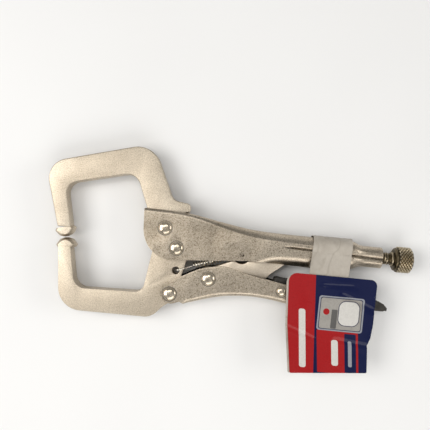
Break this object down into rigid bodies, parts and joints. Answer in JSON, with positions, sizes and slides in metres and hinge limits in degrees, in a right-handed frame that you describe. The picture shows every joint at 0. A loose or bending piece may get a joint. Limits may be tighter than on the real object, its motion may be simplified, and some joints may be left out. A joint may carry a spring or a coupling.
{
  "type": "locking c-clamp pliers",
  "caption": "Locking pliers with two C-shaped clamp jaws, sheet-metal handles, toggle link, release lever, adjusting screw with knurled knob, and a paper tag looped round the upper handle.",
  "frame": {"origin": "on the axis of the jaw pivot rivet, at the plane of the flat back ends of the rivets, on which the pliers lie", "axes": "+X along the adjusting screw from the jaws to the knob, +Y from the lower handle to the upper handle, +Z out of the plane of the pliers towards the domed rivet heads"},
  "size_m": [0.1757, 0.0989, 0.0154],
  "materials": {
    "jaw_forging": "satin pearl nickel over a blasted forging",
    "pressed_sheet": "satin pearl nickel over pressed sheet",
    "link_steel": "satin nickel",
    "lever_steel": "dark blackened sheet",
    "rivet_steel": "polished nickel",
    "spring_wire": "drawn wire",
    "screw_steel": "dull olive nickel",
    "tag_paper": "coated paper, plain side",
    "tag_print": "glossy printed card in red, navy and grey blocks, no lettering"
  },
  "bodies": {
    "frame_body": {"upper_handle": "pressed_sheet", "upper_jaw": "jaw_forging", "upper_jaw_rivet": "rivet_steel", "jaw_pivot_rivet": "rivet_steel", "spring_anchor_pin": "rivet_steel", "jaw_spring": "spring_wire", "tag_loop": "tag_paper", "tag_card": "tag_print", "tag_backing": "tag_paper"},
    "lower_jaw_body": {"lower_jaw": "jaw_forging"},
    "lower_handle_body": {"lower_handle": "pressed_sheet", "handle_pivot_rivet": "rivet_steel", "link_pivot_rivet": "rivet_steel", "release_lever_rivet": "rivet_steel"},
    "link_body": {"toggle_link": "link_steel"},
    "lever_body": {"release_lever": "lever_steel"},
    "screw_body": {"adjusting_screw": "screw_steel"},
    "knob_body": {"adjusting_knob": "screw_steel"}
  },
  "joints": [
    {"name": "jaw_pivot", "type": "hinge", "parent": "frame_body", "child": "lower_jaw_body", "pos_m": [0, 0, 0.00715], "axis": [0, 0, 1], "range_deg": [0, 25], "deforming": ["jaw_spring"]},
    {"name": "handle_pivot", "type": "hinge", "parent": "lower_jaw_body", "child": "lower_handle_body", "pos_m": [-0.0013, -0.0217, 0.00715], "axis": [0, 0, 1], "range_deg": [-83, 0]},
    {"name": "link_pivot", "type": "hinge", "parent": "lower_handle_body", "child": "link_body", "pos_m": [0.0162, -0.013, 0.00715], "axis": [0, 0, 1], "range_deg": [0, 88]},
    {"name": "release_lever_pivot", "type": "hinge", "parent": "lower_handle_body", "child": "lever_body", "pos_m": [0.051, -0.0156, 0.00715], "axis": [0, 0, 1], "range_deg": [-6, 0]},
    {"name": "screw_slide", "type": "slide", "parent": "frame_body", "child": "screw_body", "axis": [1, 0, 0], "range_m": [0, 0.015]},
    {"name": "knob_turn", "type": "hinge", "parent": "screw_body", "child": "knob_body", "pos_m": [0.106, 0.0042, 0.00715], "axis": [1, 0, 0], "range_deg": [-5401, 0]}
  ],
  "couplings": [
    {"joint": "handle_pivot", "follows": "jaw_pivot", "ratio": -3.3},
    {"joint": "link_pivot", "follows": "jaw_pivot", "ratio": 3.5},
    {"joint": "knob_turn", "follows": "screw_slide", "rad_per_m": -6283.2}
  ]
}
